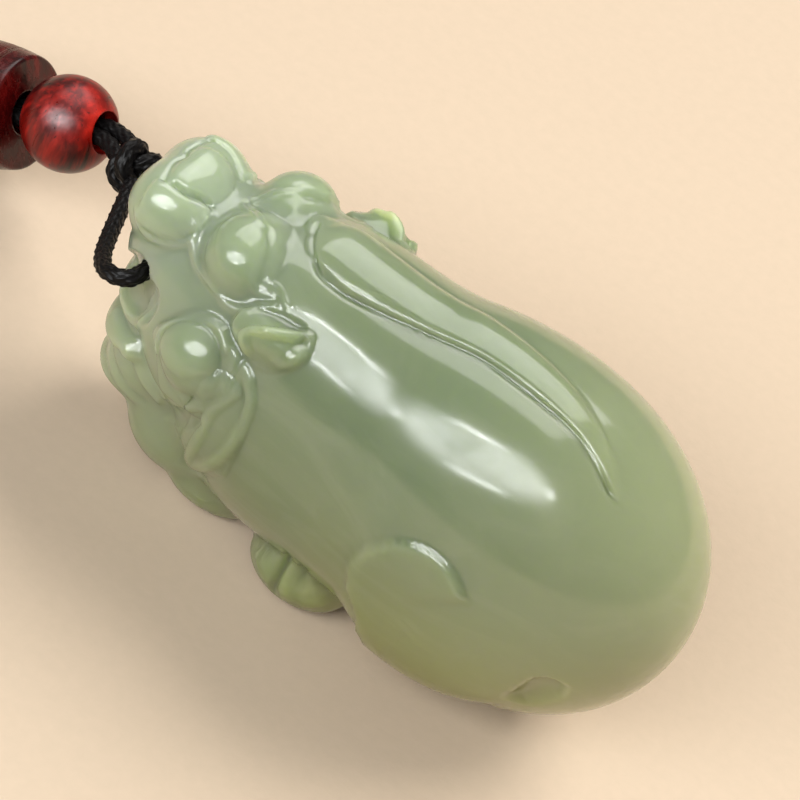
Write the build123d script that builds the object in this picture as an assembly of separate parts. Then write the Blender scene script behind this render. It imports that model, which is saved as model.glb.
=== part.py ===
from build123d import *
from collections import namedtuple
import math
import os

import numpy as np

# A carved jade pixiu, a crouching lion-like animal, drilled through the mouth.
# A cord loop through the mouth carries a knot, a round wooden bead and a barrel
# bead, and ends in a plain hanging loop. Millimetres, head towards -X, +Z up,
# with the flat ground under the belly at z = 0.

# The jade
jade_length = 53.6
jade_width = 24.5
jade_height = 32.4
mouth_bore = 2.8
mouth_behind_nose = 4.4
mouth_up = 20.2
nose_rows = 48
tail_rows = 18
turns = 56

# The cord and what is threaded on it
cord_diameter = 1.4
fit_gap = 0.05
knot_width = 5.0
round_bead = 8.0
barrel_diameter = 10.5
barrel_end = 9.4
barrel_length = 10.0
bead_bore = 3.5
bead_gap = 0.3
bead_rim = 0.6
knot_reach = 0.4

# A mass is one swelling of the carving: an ellipsoid that melts into the ones before it.
# ahead and long are shares of the length, out and wide of the width, up and high of the
# height, blend of the length. A mass with a side place stands on both sides.
Mass = namedtuple("Mass", "name ahead out up long wide high pitch blend")
masses = [
    Mass("rump", 0.236, 0.00, 0.508, 0.258, 0.455, 0.447, 0, 0.000),
    Mass("back", 0.085, 0.00, 0.530, 0.290, 0.462, 0.430, 0, 0.100),
    Mass("chest", -0.130, 0.00, 0.420, 0.230, 0.360, 0.390, 0, 0.100),
    Mass("neck", -0.190, 0.00, 0.575, 0.180, 0.350, 0.320, 0, 0.100),
    Mass("belly", 0.150, 0.00, 0.170, 0.240, 0.200, 0.190, 0, 0.060),
    Mass("head", -0.310, 0.00, 0.565, 0.130, 0.340, 0.265, 0, 0.060),
    Mass("muzzle", -0.400, 0.00, 0.630, 0.090, 0.245, 0.150, 0, 0.040),
    Mass("jaw", -0.365, 0.00, 0.290, 0.092, 0.240, 0.160, 0, 0.040),
    Mass("fore leg", -0.290, 0.09, 0.165, 0.095, 0.150, 0.145, 12, 0.030),
    Mass("lip wall", -0.398, 0.00, 0.470, 0.078, 0.230, 0.100, 0, 0.015),
    Mass("lip", -0.388, 0.00, 0.385, 0.092, 0.260, 0.045, 22, 0.012),
    Mass("chin", -0.378, 0.00, 0.240, 0.092, 0.220, 0.070, 18, 0.015),
    Mass("bridge", -0.350, 0.00, 0.750, 0.080, 0.170, 0.085, 0, 0.030),
    Mass("nose", -0.433, 0.00, 0.752, 0.066, 0.190, 0.097, -15, 0.020),
    Mass("nostril", -0.440, 0.09, 0.740, 0.062, 0.125, 0.100, -20, 0.020),
    Mass("brow", -0.300, 0.12, 0.800, 0.062, 0.155, 0.095, -10, 0.012),
    Mass("cheek", -0.275, 0.31, 0.595, 0.055, 0.115, 0.090, 0, 0.008),
    Mass("pouch", -0.270, 0.27, 0.500, 0.050, 0.110, 0.110, 0, 0.020),
    Mass("ear", -0.200, 0.31, 0.770, 0.058, 0.072, 0.055, 12, 0.008),
    Mass("thigh", 0.185, 0.29, 0.460, 0.200, 0.210, 0.310, 0, 0.006),
    Mass("hind foot", -0.025, 0.20, 0.095, 0.085, 0.115, 0.105, 6, 0.010),
    Mass("fore foot", -0.215, 0.10, 0.075, 0.085, 0.110, 0.090, 6, 0.010),
]

# A dent is cut back out of the masses, with the same columns.
dents = [
    Mass("mouth corner", -0.400, 0.270, 0.570, 0.030, 0.050, 0.075, -25, 0.012),
    Mass("under tail", 0.325, 0.270, 0.120, 0.030, 0.090, 0.060, 0, 0.015),
]

# A leaf is a long low relief along a line seen from above (out) or from the side (up).
# ahead is a share of the length, level of the width or the height, half of the width, and
# rise of the leaf's own half width.
Station = namedtuple("Station", "ahead level half")
Leaf = namedtuple("Leaf", "name seen rise line")
leaves = [
    Leaf("horn", "above", 0.27, [
        Station(-0.235, 0.055, 0.075),
        Station(-0.200, 0.018, 0.118),
        Station(-0.150, -0.003, 0.122),
        Station(-0.080, 0.000, 0.112),
        Station(0.000, 0.004, 0.100),
        Station(0.080, -0.010, 0.078),
        Station(0.160, -0.036, 0.064),
        Station(0.230, -0.074, 0.046),
        Station(0.280, -0.115, 0.034),
        Station(0.312, -0.138, 0.016),
    ]),
    Leaf("beard", "side", 0.17, [
        Station(-0.215, 0.600, 0.070),
        Station(-0.205, 0.480, 0.105),
        Station(-0.210, 0.380, 0.105),
        Station(-0.225, 0.300, 0.080),
    ]),
]

# The cord's routes, chosen by hand. The bail goes from the knot round the left of the
# muzzle, through the mouth and back. The hanging loop goes out and back through the beads.
bail_route = [
    (-30.2, 5.7, 14.9),
    (-28.9, 2.0, 15.6),
    (-27.6, -1.6, 16.5),
    (-26.3, -4.9, 17.8),
    (-24.6, -7.4, 19.5),
    (-22.3, -6.9, 20.2),
    (-22.6, -2.3, 20.2),
    (-22.6, 2.3, 20.2),
    (-22.3, 6.9, 20.2),
    (-24.6, 7.6, 19.4),
    (-26.7, 8.1, 17.8),
    (-28.8, 7.9, 16.5),
    (-30.1, 7.5, 15.5),
]
loop_route = [
    (-32.3, 7.2, 14.3),
    (-34.56, 9.25, 13.63),
    (-54.3, 9.25, 2.97),
    (-59.2, 7.6, 1.0),
    (-65.2, 3.0, 0.75),
    (-72.2, -3.0, 0.75),
    (-80.2, -8.8, 0.75),
    (-87.2, -12.2, 0.75),
    (-93.2, -11.2, 0.75),
    (-95.6, -5.9, 0.75),
    (-92.4, -0.4, 0.75),
    (-85.0, 3.4, 0.75),
    (-76.0, 6.2, 0.75),
    (-67.5, 9.6, 0.75),
    (-60.0, 11.6, 1.0),
    (-54.3, 10.75, 2.97),
    (-34.56, 10.75, 13.63),
    (-31.8, 9.1, 14.5),
]


def melt(a, b, band):
    """The smaller of two depths, rounded where they differ by less than the band."""
    if band <= 0:
        return np.minimum(a, b)
    near = np.clip(band - np.abs(a - b), 0, None) / band
    return np.minimum(a, b) - near * near * band / 4


def mass_depth(points, mass):
    """How far points lie outside one ellipsoid, less than zero inside it."""
    size = np.array([jade_length, jade_width, jade_height])
    centre = np.array([mass.ahead, mass.out, mass.up]) * size
    radii = np.array([mass.long, mass.wide, mass.high]) * size
    place = points.copy()
    if mass.out:
        place[..., 1] = np.abs(place[..., 1])
    place = place - centre
    if mass.pitch:
        c, s = math.cos(math.radians(mass.pitch)), math.sin(math.radians(mass.pitch))
        place = place @ np.array([[c, 0, -s], [0, 1, 0], [s, 0, c]])
    ratio = np.linalg.norm(place / radii, axis=-1)
    slope = np.linalg.norm(place / radii**2, axis=-1) + 1e-9
    return ratio * (ratio - 1) / slope


def leaf_rise(points, leaf):
    """How far a leaf lifts the surface: a dome across its line, nothing past its edges."""
    if leaf.seen == "above":
        flat = points[..., [0, 1]]
        sizes = np.array([jade_length, jade_width])
        facing = points[..., 2] > jade_height / 2
    else:
        flat = points[..., [0, 2]]
        sizes = np.array([jade_length, jade_height])
        facing = np.abs(points[..., 1]) > jade_width / 8
    lift = np.zeros(flat.shape[:-1])
    for first, last in zip(leaf.line[:-1], leaf.line[1:]):
        start = np.array([first.ahead, first.level]) * sizes
        run = np.array([last.ahead, last.level]) * sizes - start
        along = np.clip(((flat - start) @ run) / (run @ run), 0, 1)
        off = np.linalg.norm(flat - start - along[..., None] * run, axis=-1)
        half = (first.half + along * (last.half - first.half)) * jade_width
        dome = np.sqrt(np.clip(1 - (off / half) ** 2, 0, 1))
        lift = np.maximum(lift, leaf.rise * half * dome)
    return np.where(facing, lift, 0.0)


def jade_depth(points):
    """How far points lie outside the carving: the masses melted together, dents out, leaves on."""
    depth = mass_depth(points, masses[0])
    for mass in masses[1:]:
        depth = melt(depth, mass_depth(points, mass), mass.blend * jade_length)
    for dent in dents:
        depth = -melt(-depth, mass_depth(points, dent), dent.blend * jade_length)
    for leaf in leaves:
        depth = depth - leaf_rise(points, leaf)
    return depth


def jade_grid():
    """Points on the carving, where rays from its inner axis leave it, a row for each step
    from the nose to the tail and a column for each turn about the axis."""
    polar = np.concatenate([
        np.linspace(0, 0.5 * math.pi, nose_rows),
        np.linspace(0.5 * math.pi, math.pi, tail_rows + 1)[1:],
    ])
    share = 0.5 - 0.5 * np.cos(polar)
    start = np.stack([
        jade_length * (-0.27 + 0.50 * share),
        0 * share,
        jade_height * (0.58 - 0.10 * share),
    ], axis=-1)[:, None, :]
    turn = np.linspace(0, 2 * math.pi, turns, endpoint=False)
    sideways = np.sin(polar)[:, None]
    ray = np.stack([
        -np.cos(polar)[:, None] + 0 * turn,
        sideways * np.sin(turn),
        -sideways * np.cos(turn),
    ], axis=-1)
    steps = np.linspace(0, jade_length, 73)
    inside = np.stack([jade_depth(start + ray * step) < 0 for step in steps])
    last = len(steps) - 1 - np.argmax(inside[::-1], axis=0)
    low = steps[last]
    high = low + steps[1]
    for _ in range(12):
        middle = (low + high) / 2
        within = jade_depth(start + ray * middle[..., None]) < 0
        low = np.where(within, middle, low)
        high = np.where(within, high, middle)
    grid = start + ray * ((low + high) / 2)[..., None]
    grid[..., 2] = np.maximum(grid[..., 2], 0.0)
    return grid


def facet(*corners):
    """One flat face through three corners."""
    return Face(Wire.make_polygon([Vector(*corner) for corner in corners], close=True))


def corners_apart(corners):
    """Whether three corners make a face with some area."""
    a, b, c = (np.array(corner) for corner in corners)
    return np.linalg.norm(np.cross(b - a, c - a)) > 1e-4


def jade_solid():
    """The carving as flat facets, with the hole for the cord drilled through the mouth."""
    grid = jade_grid()
    nose, tail = grid[0].mean(axis=0), grid[-1].mean(axis=0)
    rings = grid[1:-1].round(4)
    triangles = []
    for j in range(turns):
        k = (j + 1) % turns
        triangles.append((nose, rings[0, k], rings[0, j]))
        triangles.append((tail, rings[-1, j], rings[-1, k]))
        for i in range(len(rings) - 1):
            triangles.append((rings[i, j], rings[i, k], rings[i + 1, k]))
            triangles.append((rings[i, j], rings[i + 1, k], rings[i + 1, j]))
    faces = [facet(*triangle) for triangle in triangles if corners_apart(triangle)]
    carving = Solid(Shell(faces))
    drill = Cylinder(mouth_bore / 2, jade_width, rotation=(90, 0, 0))
    return carving - drill.moved(Location((mouth_behind_nose - jade_length / 2, 0, mouth_up)))


def corner_radii(points):
    """The largest arc each corner of a route has room for: 0.45 of its shorter run."""
    radii = []
    for before, corner, after in zip(points[:-2], points[1:-1], points[2:]):
        first = Vector(*corner) - Vector(*before)
        second = Vector(*after) - Vector(*corner)
        half_turn = math.radians(first.get_angle(second)) / 2
        radii.append(0.45 * min(first.length, second.length) / math.tan(half_turn))
    return radii


def cord_tube(points, diameter):
    """A round cord along straight runs joined by tangent arcs."""
    path = FilletPolyline(*points, radius=corner_radii(points))
    start = Plane(origin=path @ 0, z_dir=path % 0)
    return path.length, sweep(start * Circle(diameter / 2), path=path)


def cord_solid(name, points):
    """The cord's own tube, with its radii and its volume printed for comparison."""
    length, tube = cord_tube(points, cord_diameter)
    section = math.pi * cord_diameter**2 / 4
    print(name, "length", round(length, 1), "radii", [round(r, 1) for r in corner_radii(points)])
    print(name, "volume", round(tube.volume, 1), "section by length", round(section * length, 1))
    return tube


def threaded(shape, along):
    """A bead's solid with its bore, set along the straight double run of the cord."""
    centre = string_start + string_way * along
    drill = Cylinder(bead_bore / 2, round_bead + barrel_length)
    return Plane(origin=centre, z_dir=string_way) * (shape - drill)


def barrel_shape():
    """A drum that swells from its ends to its middle, with eased rims."""
    half, end, middle = barrel_length / 2, barrel_end / 2, barrel_diameter / 2
    side = ThreePointArc((end, -half), (middle, 0), (end, half))
    outline = side + Polyline((end, half), (0, half), (0, -half), (end, -half))
    drum = revolve(Plane.XZ * make_face(outline), axis=Axis.Z)
    return fillet(drum.edges().filter_by(GeomType.CIRCLE), bead_rim)


def knot_solid():
    """A tight knot: a core with three wraps of cord, hollowed where the strands enter."""
    wrap = cord_diameter / 2
    reach = knot_width / 2 - wrap
    lump = Sphere(reach + wrap / 2)
    for place, lean in [((0, 0, -wrap), (20, 10, 0)), ((0, 0, wrap), (-15, 12, 0)), ((0, 0, 0), (85, 0, 30))]:
        lump = lump + Torus(reach, wrap, rotation=lean).moved(Location(place))
    knot = Plane(origin=knot_centre, z_dir=knot_way) * lump
    for route in (bail_route, loop_route):
        knot = knot - cord_tube(route, cord_diameter + 2 * fit_gap)[1]
    return knot


knot_ends = [Vector(*route[i]) for route in (bail_route, loop_route) for i in (0, -1)]
knot_centre = sum(knot_ends, Vector()) / len(knot_ends)
knot_way = Vector(-0.80, 0.55, -0.25)
out_start, out_end = Vector(*loop_route[1]), Vector(*loop_route[2])
back_start = Vector(*loop_route[-2])
string_start = (out_start + back_start) / 2
string_way = (out_end - out_start).normalized()
bead_along = knot_reach + bead_gap + round_bead / 2
barrel_along = bead_along + round_bead / 2 + bead_gap + barrel_length / 2

parts = {
    "jade_pixiu": jade_solid(),
    "bail_cord": cord_solid("bail_cord", bail_route),
    "cord_knot": knot_solid(),
    "round_bead": threaded(Sphere(round_bead / 2), bead_along),
    "barrel_bead": threaded(barrel_shape(), barrel_along),
    "hanging_cord": cord_solid("hanging_cord", loop_route),
}

os.makedirs("parts", exist_ok=True)
for node, solid in parts.items():
    export_step(solid, f"parts/{node}.step")
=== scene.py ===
# %% [markdown]
# # A jade pixiu pendant
# The object is a hand-sized animal carved from one pebble of pale green nephrite jade. A thin braided
# cord goes through its mouth, is tied in a tight knot, and carries a round and a barrel-shaped wooden
# bead. The solid model gives every size and place, and each piece below stands where its solid stands.

# %% The frame and the tools
from collections import namedtuple
import math

import bpy
import numpy as np
from mathutils import Matrix


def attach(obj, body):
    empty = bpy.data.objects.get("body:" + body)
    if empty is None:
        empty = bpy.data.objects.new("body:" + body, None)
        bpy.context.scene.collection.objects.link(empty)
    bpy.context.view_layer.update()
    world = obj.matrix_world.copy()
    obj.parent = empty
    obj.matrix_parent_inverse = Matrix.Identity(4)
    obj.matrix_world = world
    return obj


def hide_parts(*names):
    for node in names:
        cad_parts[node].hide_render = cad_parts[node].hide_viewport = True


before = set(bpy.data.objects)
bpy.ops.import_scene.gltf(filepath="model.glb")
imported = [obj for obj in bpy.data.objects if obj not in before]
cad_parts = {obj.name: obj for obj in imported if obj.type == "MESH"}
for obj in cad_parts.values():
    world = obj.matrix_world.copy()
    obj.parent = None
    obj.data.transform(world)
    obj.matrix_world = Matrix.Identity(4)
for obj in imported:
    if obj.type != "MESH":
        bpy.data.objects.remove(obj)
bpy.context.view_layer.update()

MM = 0.001

# %% [markdown]
# ## The camera
# The photograph was taken from above and from the left flank, with the camera turned about its own axis,
# so that the animal's back runs down to the right. The lens is long, because the bead and the rump are
# nearly at one scale although they lie at different distances.

# %% The camera at the photograph's angle
azimuth, elevation, roll = (math.radians(angle) for angle in (13.6, 47.0, 27.0))
backward = np.array([math.sin(azimuth) * math.cos(elevation), -math.cos(azimuth) * math.cos(elevation),
                     math.sin(elevation)])
level = np.array([math.cos(azimuth), math.sin(azimuth), 0.0])
upright = np.cross(backward, level)
rightward = level * math.cos(roll) + upright * math.sin(roll)
upward = upright * math.cos(roll) - level * math.sin(roll)
camera_distance = 300.0
looked_at = np.array([-2.50, 3.74, 15.74])

lens = bpy.data.cameras.new("photo_camera")
lens.lens = 175.5
lens.sensor_width = 36
lens.clip_start, lens.clip_end = 0.01, 10
camera = bpy.data.objects.new("photo_camera", lens)
turned = Matrix([[rightward[i], upward[i], backward[i]] for i in range(3)]).to_4x4()
turned.translation = (looked_at + backward * camera_distance) * MM
camera.matrix_world = turned
bpy.context.scene.collection.objects.link(camera)
bpy.context.scene.camera = camera
print("camera at", [round(v, 3) for v in camera.location])

# %% [markdown]
# ## The cord's routes
# The cord is limp. It leaves the knot, goes round the left of the muzzle into the drilled mouth, comes
# out on the other side and returns to the knot. The other loop goes out of the knot through both beads
# and lies on the ground beyond them. Each route is a short list of points that a smooth curve follows.
# The points are those of the solid model, with one more at each end of the straight run that the beads
# hold, where the cord is pulled straight.

# %% The cord's points, in millimetres
cord_width = 1.4
bail_route = [
    (-30.2, 5.7, 14.9), (-28.9, 2.0, 15.6), (-27.6, -1.6, 16.5), (-26.3, -4.9, 17.8), (-24.6, -7.4, 19.5),
    (-22.3, -6.9, 20.2), (-22.6, -2.3, 20.2), (-22.6, 2.3, 20.2), (-22.3, 6.9, 20.2), (-24.6, 7.6, 19.4),
    (-26.7, 8.1, 17.8), (-28.8, 7.9, 16.5), (-30.1, 7.5, 15.5),
]
loop_route = [
    (-32.3, 7.2, 14.3), (-34.56, 9.25, 13.63), (-37.2, 9.25, 12.20), (-49.3, 9.25, 5.67), (-54.3, 9.25, 2.97),
    (-59.2, 7.6, 1.0), (-65.2, 3.0, 0.75), (-72.2, -3.0, 0.75), (-80.2, -8.8, 0.75), (-87.2, -12.2, 0.75),
    (-93.2, -11.2, 0.75), (-95.6, -5.9, 0.75), (-92.4, -0.4, 0.75), (-85.0, 3.4, 0.75), (-76.0, 6.2, 0.75),
    (-67.5, 9.6, 0.75), (-60.0, 11.6, 1.0), (-54.3, 10.75, 2.97), (-49.3, 10.75, 5.67), (-37.2, 10.75, 12.20),
    (-34.56, 10.75, 13.63), (-31.8, 9.1, 14.5),
]
print("points in the routes", len(bail_route), len(loop_route))

# %% Smooth curves from the routes


def smooth_line(points):
    """The line of a smooth spline whose control points are the route's, as an array in millimetres."""
    curve = bpy.data.curves.new("route", "CURVE")
    curve.dimensions = "3D"
    curve.resolution_u = 24
    spline = curve.splines.new("NURBS")
    spline.points.add(len(points) - 1)
    for place, point in zip(spline.points, points):
        place.co = (*(v * MM for v in point), 1)
    spline.order_u = 3
    spline.use_endpoint_u = True
    holder = bpy.data.objects.new("route", curve)
    mesh = bpy.data.meshes.new_from_object(holder)
    line = np.empty(3 * len(mesh.vertices), np.float32)
    mesh.vertices.foreach_get("co", line)
    bpy.data.objects.remove(holder)
    bpy.data.meshes.remove(mesh)
    bpy.data.curves.remove(curve)
    return line.reshape(-1, 3).astype(float) / MM


def even_steps(line, step):
    """The same line with its points the same distance apart, and that line's length."""
    gone = np.concatenate([[0], np.cumsum(np.linalg.norm(np.diff(line, axis=0), axis=1))])
    places = np.linspace(0, gone[-1], max(2, round(gone[-1] / step)) + 1)
    return np.stack([np.interp(places, gone, line[:, i]) for i in range(3)], axis=1), gone[-1]


def frames_along(line):
    """Directions across and out of a line at each point. The way across is the one before it with the part
    along the line taken off, so it is carried on without twist."""
    along = np.gradient(line, axis=0)
    along /= np.linalg.norm(along, axis=1)[:, None]
    across = np.zeros_like(line)
    across[0] = np.cross(along[0], [0.0, 0.0, 1.0])
    for i in range(1, len(line)):
        across[i] = across[i - 1] - (across[i - 1] @ along[i]) * along[i]
    across /= np.linalg.norm(across, axis=1)[:, None]
    return across, np.cross(along, across)


fine_step, loop_step = 0.05, 0.11
bail_line, bail_length = even_steps(smooth_line(bail_route), fine_step)
loop_line, loop_length = even_steps(smooth_line(loop_route), loop_step)
print("bail", round(bail_length, 1), "mm, hanging loop", round(loop_length, 1), "mm")

# %% [markdown]
# ## Shared tools
# Every surface here is an array of points with rows and columns. One function makes a mesh of such an
# array, with its seam closed where the columns go all the way round.

# %% Meshes from arrays


def grid_mesh(name, grid, closed=True, caps=False):
    """An object from rows and columns of points in millimetres. closed joins the last column to the
    first, and caps closes the first and the last row with a point in their middle."""
    rows, columns = grid.shape[:2]
    points = grid.reshape(-1, 3)
    i, j = np.meshgrid(np.arange(rows - 1), np.arange(columns if closed else columns - 1), indexing="ij")
    k = (j + 1) % columns
    quads = np.stack([i * columns + j, i * columns + k,
                      (i + 1) * columns + k, (i + 1) * columns + j], axis=-1)
    faces = quads.reshape(-1, 4).tolist()
    if caps:
        first, last = len(points), len(points) + 1
        points = np.concatenate([points, [grid[0].mean(axis=0)], [grid[-1].mean(axis=0)]])
        here = np.arange(columns)
        after, base = (here + 1) % columns, (rows - 1) * columns
        faces += np.stack([0 * here + first, after, here], axis=1).tolist()
        faces += np.stack([0 * here + last, base + here, base + after], axis=1).tolist()
    mesh = bpy.data.meshes.new(name)
    mesh.from_pydata((points * MM).tolist(), [], faces)
    mesh.validate()
    mesh.polygons.foreach_set("use_smooth", [True] * len(mesh.polygons))
    piece = bpy.data.objects.new(name, mesh)
    bpy.context.scene.collection.objects.link(piece)
    print(name, len(mesh.polygons), "faces")
    return piece


# %% [markdown]
# ## Materials as node graphs
# A surface's colour, gloss and fine relief are worked out point by point from where the point lies on
# the object, so the grain and the clouds go through the material as they do in the real thing.

# %% A small kit for shaders


class Shader:
    """A material and short ways to add and join its nodes."""

    def __init__(self, name):
        self.material = bpy.data.materials.new(name)
        self.material.use_nodes = True
        self.nodes = self.material.node_tree.nodes
        self.links = self.material.node_tree.links
        self.surface = self.nodes["Principled BSDF"]
        self.place = self.nodes.new("ShaderNodeTexCoord").outputs["Object"]

    def add(self, kind, settings=(), **inputs):
        """A node with its settings and inputs. An input that is a socket is joined to it."""
        node = self.nodes.new(kind)
        for key, value in dict(settings).items():
            setattr(node, key, value)
        for key, value in inputs.items():
            self.feed(node, key.replace("_", " "), value)
        return node

    def feed(self, node, key, value):
        """Join a socket, or set a value, at one input."""
        if isinstance(value, bpy.types.NodeSocket):
            self.links.new(value, node.inputs[key])
        else:
            node.inputs[key].default_value = value

    def finish(self, **inputs):
        """Set the surface's own inputs."""
        for key, value in inputs.items():
            self.feed(self.surface, key.replace("_", " "), value)

    def stretched(self, scale, turn=(0, 0, 0)):
        """The object's coordinates, turned and scaled, with one number for each axis."""
        return self.add("ShaderNodeMapping", Vector=self.place, Scale=scale, Rotation=turn).outputs["Vector"]

    def noise(self, vector, scale, detail, distortion=0.0):
        """Soft clouds between 0 and 1."""
        node = self.add("ShaderNodeTexNoise", Vector=vector, Scale=scale, Detail=detail,
                        Roughness=0.55, Distortion=distortion)
        return node.outputs[0]

    def ramp(self, value, stops):
        """Colours between stops, each a place and a colour."""
        node = self.add("ShaderNodeValToRGB", Fac=value)
        marks = node.color_ramp.elements
        while len(marks) < len(stops):
            marks.new(1.0)
        for mark, (place, colour) in zip(marks, stops):
            mark.position = place
            mark.color = (*colour, 1.0)
        return node.outputs["Color"]

    def span(self, value, low, high, to_low, to_high):
        """A number carried from one range to another and held at its ends."""
        node = self.add("ShaderNodeMapRange", Value=value, From_Min=low, From_Max=high, To_Min=to_low,
                        To_Max=to_high)
        return node.outputs["Result"]

    def mix(self, share, first, second):
        """Two colours mixed by a share, more of the second as it grows."""
        node = self.add("ShaderNodeMix", {"data_type": "RGBA"})
        for socket, value in ((0, share), (6, first), (7, second)):
            self.feed(node, socket, value)
        return node.outputs[2]

    def bump(self, height, strength, distance, under=None):
        """A relief normal from a height, on top of another one."""
        node = self.add("ShaderNodeBump", Height=height, Strength=strength, Distance=distance)
        if under is not None:
            self.links.new(under, node.inputs["Normal"])
        return node.outputs["Normal"]


def dress(piece, shader):
    """Give a piece its material, and let it ride on the object."""
    piece.data.materials.append(shader.material)
    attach(piece, "root")
    print(piece.name, "wears", shader.material.name, "with", len(shader.nodes), "nodes")


# %% [markdown]
# ## Braided cord
# The cord is a tight round braid of waxed black thread: two families of strands wind round it in
# opposite ways, and each goes over and under the others in turn. At this width a relief on one tube is
# enough. With the way round the tube as v and the length as u, the families are the phases n v + k u and
# n v - k u. A strand's height is a cosine squared of half its phase, and the product of both cosines says
# which strand lies on top.

# %% The braid's relief
strands = 7
braid_pitch = 1.25
braid_relief = 0.15
mean_height = 0.75


def braided(name, line, columns, reach=cord_width / 2):
    """A tube along a line. Its radius is the reach plus the braid's relief times the height of the upper
    strand, and a point is the line's point plus the radius times a turn from the way across to the way
    out."""
    across, out = frames_along(line)
    u = np.concatenate([[0], np.cumsum(np.linalg.norm(np.diff(line, axis=0), axis=1))])[:, None]
    v = np.linspace(0, 2 * math.pi, columns, endpoint=False)[None, :]
    left = (strands * v + 2 * math.pi * u / braid_pitch) / 2
    right = (strands * v - 2 * math.pi * u / braid_pitch) / 2
    top = np.cos(left) * np.cos(right)
    height = np.maximum(np.cos(left) ** 2 * (1 + top), np.cos(right) ** 2 * (1 - top)) / 2
    radius = (reach + braid_relief * (height - mean_height))[..., None]
    turned_way = np.cos(v)[..., None] * across[:, None] + np.sin(v)[..., None] * out[:, None]
    return grid_mesh(name, line[:, None] + radius * turned_way, caps=True)


bail = braided("bail_braid", bail_line, 48)
hanging = braided("hanging_braid", loop_line, 36)

# %% [markdown]
# The knot is the same cord pulled tight. A trefoil is the shape that a cord takes in a plain overhand
# knot whose ends are joined: it goes twice round the middle while it weaves in and out three times.

# %% The knot
knot_centre = np.array([-31.1, 7.375, 14.8])
knot_way = np.array([-0.80, 0.55, -0.25])
knot_way /= np.linalg.norm(knot_way)
knot_around, knot_weave, knot_tall, knot_reach = 1.12, 0.62, 1.25, 0.74


def trefoil(around, weave, count=600):
    """A closed knot about its own axis. As t goes round once, the line turns twice, its radius is the mean
    one plus the weave times the cosine of 3 t, and its height goes with the sine of 3 t."""
    t = np.linspace(0, 2 * math.pi, count + 1)
    ring = around + weave * np.cos(3 * t)
    flat = np.stack([ring * np.cos(2 * t), ring * np.sin(2 * t), knot_tall * weave * np.sin(3 * t)], axis=1)
    side = np.cross(knot_way, [0.0, 0.0, 1.0])
    side /= np.linalg.norm(side)
    return knot_centre + flat @ np.stack([side, np.cross(knot_way, side), knot_way])


knot_line, knot_length = even_steps(trefoil(knot_around, knot_weave), fine_step)
knot = braided("knot_braid", knot_line, 44, reach=knot_reach)
print("cord in the knot", round(knot_length, 1), "mm")

# %% [markdown]
# The thread is black and waxed: nearly without colour, with a weak and uneven shine along each strand. A
# fine bump stands for the fibres.

# %% Waxed black thread
waxed = Shader("waxed_black_thread")
fuzz = waxed.noise(waxed.stretched((1, 1, 1)), 2600, detail=3)
cloud = waxed.noise(waxed.stretched((1, 1, 1)), 300, detail=2)
waxed.finish(
    Base_Color=waxed.mix(cloud, (0.002, 0.002, 0.002, 1), (0.006, 0.005, 0.005, 1)),
    Roughness=waxed.span(fuzz, 0.3, 0.7, 0.24, 0.48),
    Specular_IOR_Level=0.10,
    Normal=waxed.bump(fuzz, 0.5, 0.00006),
)
dress(bail, waxed)
dress(hanging, waxed)
dress(knot, waxed)
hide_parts("bail_cord")
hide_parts("hanging_cord")
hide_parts("cord_knot")

# %% [markdown]
# ## Wooden beads
# Both beads are turned on a lathe and then sanded and waxed. A turned piece is a profile spun about its
# bore, so the surface is a function of the way along the profile and the way round. The rims at the bore
# are eased, because a sharp one would cut the cord.

# %% Where the beads sit on the cord
string_start = (np.array(loop_route[1]) + np.array(loop_route[-2])) / 2
string_way = np.array([-19.74, 0.0, -10.66])
string_way /= np.linalg.norm(string_way)
bead_radius, bore_radius = 4.0, 1.75
barrel_middle, barrel_end, barrel_half = 5.245, 4.7, 5.0
free_cord, bead_gap = 0.4, 0.3
ball_along = free_cord + bead_gap + bead_radius
barrel_along = ball_along + bead_radius + bead_gap + barrel_half
print("ball at", ball_along, "mm and barrel at", barrel_along, "mm along the string")

# %% Turned pieces


def turned_piece(name, profile, along, columns=128):
    """A profile spun about the string. A point is the centre plus the profile's radius times a turn from
    the side to the way up, plus the profile's height along the string."""
    side = np.array([0.0, 1.0, 0.0])
    up = np.cross(string_way, side)
    v = np.linspace(0, 2 * math.pi, columns, endpoint=False)
    round_way = np.cos(v)[:, None] * side + np.sin(v)[:, None] * up
    centre = string_start + string_way * along
    grid = centre + profile[:, 0, None, None] * round_way + profile[:, 1, None, None] * string_way
    return grid_mesh(name, grid)


def rounded(corners, ease, count=7):
    """A profile through corners, each with a little parabola in place of its point."""
    corners = np.array(corners, float)
    points = [corners[:1]]
    t = np.linspace(0, 1, count)[:, None]
    for before, corner, after in zip(corners[:-2], corners[1:-1], corners[2:]):
        start = corner + (before - corner) / np.linalg.norm(before - corner) * ease
        end = corner + (after - corner) / np.linalg.norm(after - corner) * ease
        points.append((1 - t) ** 2 * start + 2 * t * (1 - t) * corner + t * t * end)
    return np.concatenate(points + [corners[-1:]])


def dense(profile, step=0.12):
    """The profile with points at even steps."""
    flat = np.column_stack([profile, np.zeros(len(profile))])
    return even_steps(flat, step)[0][:, :2]


# %% The ball and the barrel
lip_width, ball_ease, barrel_ease = 0.25, 0.04, 0.3
lip = math.asin((bore_radius + lip_width) / bead_radius)
ball_turn = np.linspace(lip, math.pi - lip, 90)
ball_side = [(bead_radius * math.sin(t), -bead_radius * math.cos(t)) for t in ball_turn]
mouth = math.sqrt(bead_radius**2 - bore_radius**2)
ball_profile = dense(rounded([(bore_radius, 0), (bore_radius, -mouth)] + ball_side
                             + [(bore_radius, mouth), (bore_radius, 0)], ball_ease))

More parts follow.
